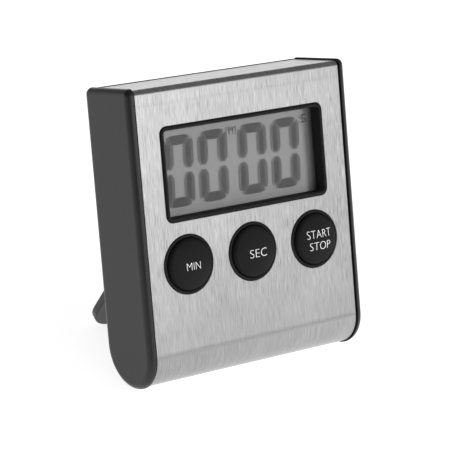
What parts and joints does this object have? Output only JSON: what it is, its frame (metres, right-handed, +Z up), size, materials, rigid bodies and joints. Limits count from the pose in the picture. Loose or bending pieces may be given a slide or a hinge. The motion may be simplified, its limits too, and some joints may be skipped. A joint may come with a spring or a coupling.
{
  "type": "digital kitchen timer",
  "caption": "Digital kitchen timer: folded steel face on a black moulded case, display window, round keys, flap stand, back magnets, hinged battery door.",
  "frame": {"origin": "on the surface the timer stands on, in the middle of its footprint: half way across the width, and midway between the front of the rounded bottom and the rear of the opened stand's tip", "axes": "+Z up, -Y towards the user who reads the display, +X to the user's right; the case leans back 16.5 degrees"},
  "size_m": [0.0706, 0.0458, 0.0774],
  "materials": {
    "case_black": "fine satin moulded ABS",
    "cover_black": "fine texture moulded ABS",
    "stand_black": "fine texture moulded ABS",
    "steel_sheet": "vertical brushed grain",
    "tape": "clear adhesive tape",
    "window_clear": "clear polished window",
    "lcd_glass": "clear display glass",
    "lcd_seal": "cured glue line",
    "lcd_reflector": "soft grey reflecting film",
    "holder_white": "moulded ABS",
    "zebra_rubber": "layered silicone",
    "board_green": "solder mask on glass fibre",
    "chip_epoxy": "glossy epoxy drop",
    "chip_ceramic": "fired ceramic",
    "bright_metal": "nickel plate",
    "screw_black": "black oxide",
    "switch_plastic": "moulded nylon",
    "key_black": "satin moulded ABS",
    "magnet_nickel": "nickel plate with fine scuffs",
    "sounder_brass": "rolled brass",
    "sounder_ceramic": "silvered ceramic",
    "cell_metal": "plain metal can",
    "cell_sleeve": "printed film"
  },
  "bodies": {
    "case": {"front_housing": "case_black", "rear_cover": "cover_black", "front_plate": "steel_sheet", "plate_tape": "tape", "display_lens": "window_clear", "lcd_front_glass": "lcd_glass", "lcd_rear_glass": "lcd_glass", "lcd_seal": "lcd_seal", "lcd_reflector": "lcd_reflector", "lcd_holder": "holder_white", "zebra_strip": "zebra_rubber", "circuit_board": "board_green", "chip_blob": "chip_epoxy", "crystal": "bright_metal", "chip_parts": "chip_ceramic", "board_screws": "bright_metal", "case_screws": "screw_black", "switch_bodies": "switch_plastic", "magnets": "magnet_nickel", "piezo_disc": "sounder_brass", "piezo_ceramic": "sounder_ceramic", "sounder_springs": "bright_metal", "cell_body": "cell_metal", "cell_sleeve": "cell_sleeve", "plus_contact": "bright_metal", "minus_contact": "bright_metal", "minus_spring": "bright_metal"},
    "stand": {"stand_leg": "stand_black"},
    "door": {"battery_door": "cover_black"},
    "min_key": {"key_min": "key_black", "plunger_min": "switch_plastic"},
    "sec_key": {"key_sec": "key_black", "plunger_sec": "switch_plastic"},
    "start_stop_key": {"key_start_stop": "key_black", "plunger_start_stop": "switch_plastic"}
  },
  "joints": [
    {"name": "min_press", "type": "slide", "parent": "case", "child": "min_key", "axis": [0, 0.9588, -0.284], "range_m": [0, 0.0007], "stiffness_N_per_m": 600, "springref_m": -0.0015},
    {"name": "sec_press", "type": "slide", "parent": "case", "child": "sec_key", "axis": [0, 0.9588, -0.284], "range_m": [0, 0.0007], "stiffness_N_per_m": 600, "springref_m": -0.0015},
    {"name": "start_stop_press", "type": "slide", "parent": "case", "child": "start_stop_key", "axis": [0, 0.9588, -0.284], "range_m": [0, 0.0007], "stiffness_N_per_m": 600, "springref_m": -0.0015},
    {"name": "stand_fold", "type": "hinge", "parent": "case", "child": "stand", "pos_m": [0, 0.00275, 0.03218], "axis": [-1, 0, 0], "range_deg": [0, 47.9]},
    {"name": "door_open", "type": "hinge", "parent": "case", "child": "door", "pos_m": [0, 0.01118, 0.058], "axis": [-1, 0, 0], "range_deg": [0, 80]}
  ]
}
